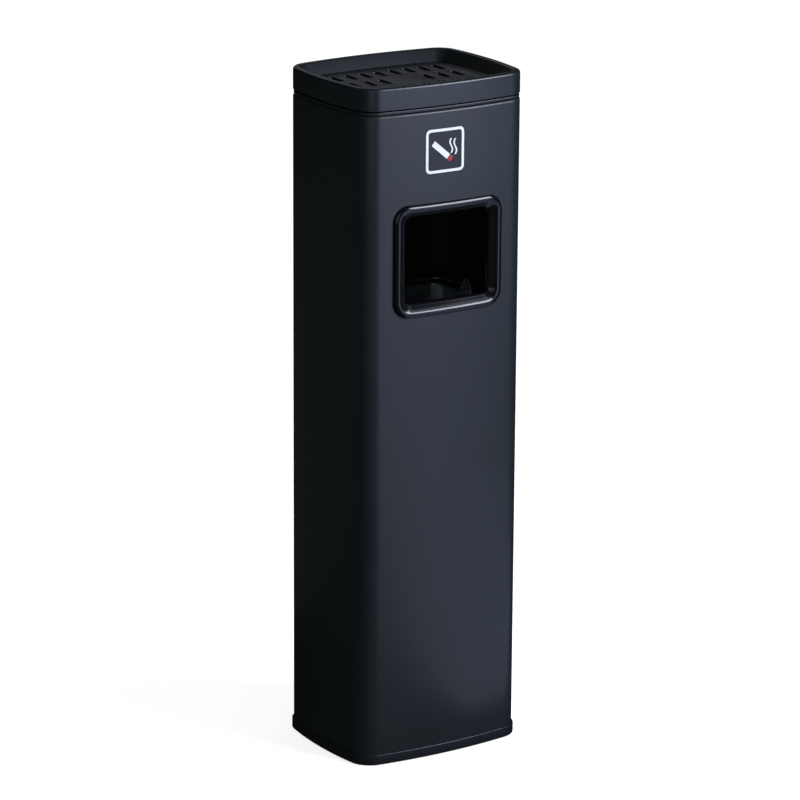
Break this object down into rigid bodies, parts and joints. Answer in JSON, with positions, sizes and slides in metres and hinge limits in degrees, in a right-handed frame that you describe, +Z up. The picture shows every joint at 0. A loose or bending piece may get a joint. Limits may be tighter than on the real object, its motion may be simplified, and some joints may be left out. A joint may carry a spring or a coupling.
{
  "type": "ashtray bin",
  "caption": "Slim free-standing lobby ash bin: bowed case, framed side litter opening, lift-off head with ash pan and slotted stub plate, and a liner pail with a bail.",
  "frame": {"origin": "middle of the footprint, on the floor", "axes": "+Z up, -Y out of the face with the litter opening, +X to the right of someone facing that face"},
  "size_m": [0.1772, 0.1461, 0.61],
  "materials": {
    "coat": "satin black powder coat with a cool tint",
    "well_coat": "satin black powder coat, slightly worn where ash is put out",
    "gloss": "glossy black moulding",
    "moulded": "fine-grained black moulding",
    "pad_rubber": "matt black rubber",
    "zinc_sheet": "zinc-coated sheet with a faint spangle",
    "zinc_wire": "bright zinc-plated wire and fasteners",
    "film": "matt black sign film",
    "print_white": "white screen print",
    "print_red": "red screen print"
  },
  "bodies": {
    "case": {"case_shell": "coat", "base_ring": "moulded", "bottom_plate": "coat", "base_screws": "zinc_wire", "foot_pad_front_left": "pad_rubber", "foot_pad_front_right": "pad_rubber", "foot_pad_back_left": "pad_rubber", "foot_pad_back_right": "pad_rubber", "opening_frame": "gloss", "frame_retainer": "moulded", "frame_screws": "zinc_wire", "sign_film": "film", "sign_print_white": "print_white", "sign_print_red": "print_red"},
    "head": {"head_shell": "coat", "neck_ring": "coat"},
    "pan": {"ash_pan": "well_coat"},
    "plate": {"stub_plate": "well_coat"},
    "liner": {"liner_shell": "zinc_sheet", "liner_rim_wire": "zinc_wire", "liner_base": "zinc_sheet", "bail_ear_left": "zinc_sheet", "bail_ear_right": "zinc_sheet", "ear_rivets": "zinc_wire"},
    "bail": {"liner_bail": "zinc_wire"}
  },
  "joints": [
    {"name": "head_lift", "type": "slide", "parent": "case", "child": "head", "axis": [0, 0, 1], "range_m": [0, 0.6]},
    {"name": "ash_pan_lift", "type": "slide", "parent": "head", "child": "pan", "axis": [0, 0, 1], "range_m": [0, 0.06]},
    {"name": "stub_plate_lift", "type": "slide", "parent": "pan", "child": "plate", "axis": [0, 0, 1], "range_m": [0, 0.04]},
    {"name": "liner_lift", "type": "slide", "parent": "case", "child": "liner", "axis": [0, 0, 1], "range_m": [0, 0.6]},
    {"name": "bail_swing", "type": "hinge", "parent": "liner", "child": "bail", "pos_m": [0, 0, 0.406], "axis": [1, 0, 0], "range_deg": [0, 188]}
  ],
  "couplings": [
    {"joint": "liner_lift", "follows": "head_lift", "ratio": 1}
  ]
}
